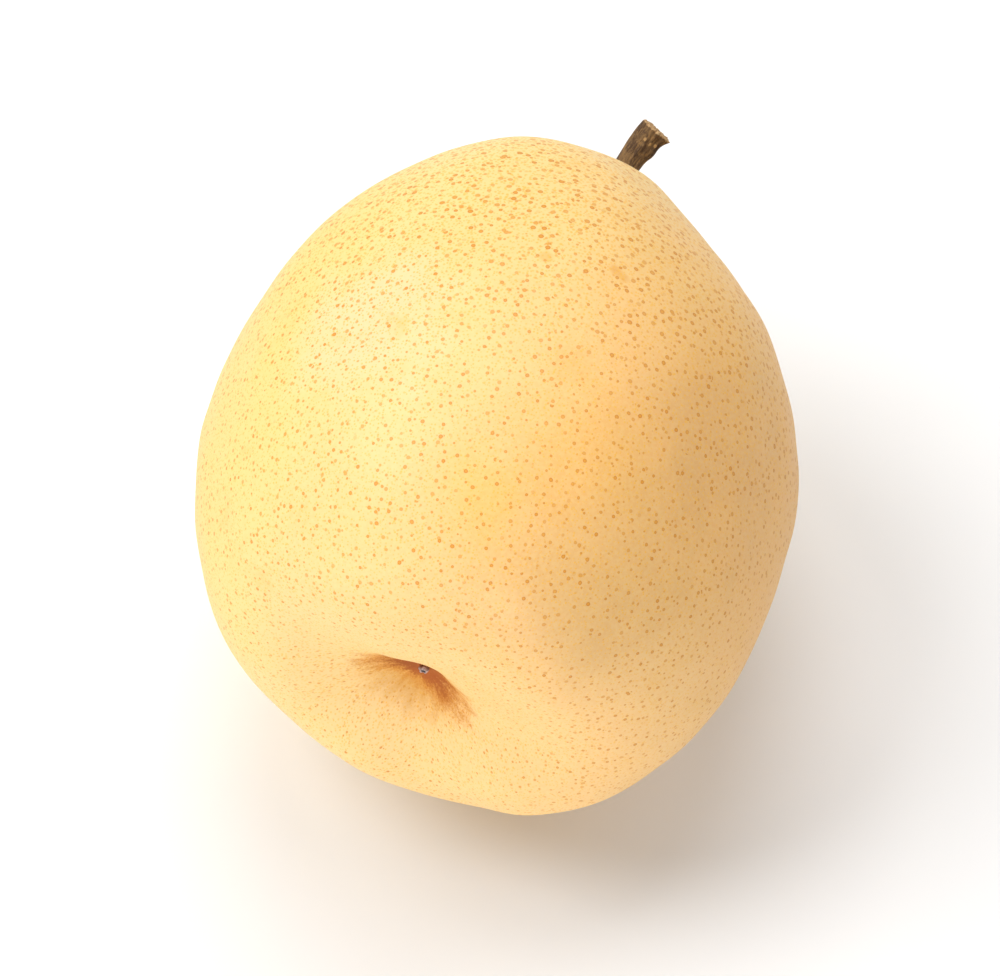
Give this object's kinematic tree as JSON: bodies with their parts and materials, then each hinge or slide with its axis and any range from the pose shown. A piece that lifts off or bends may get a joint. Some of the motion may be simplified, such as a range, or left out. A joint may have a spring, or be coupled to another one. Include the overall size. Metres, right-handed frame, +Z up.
{
  "type": "pear",
  "caption": "Round pale yellow pear lying on its side, with a short cut woody stem and a ribbed basin holding the dried flower remnant at the other end.",
  "frame": {"origin": "middle of the small flat spot that the pear rests on", "axes": "+Z up, out of the surface it rests on; +Y along the core, from the calyx end to the stem end"},
  "size_m": [0.0832, 0.1021, 0.0822],
  "materials": {
    "fruit_skin": "satin",
    "stem_bark": "matte",
    "dried_remnant": "matte"
  },
  "bodies": {
    "root": {"fruit": "fruit_skin", "stem": "stem_bark", "flower_remnant": "dried_remnant"}
  },
  "joints": []
}
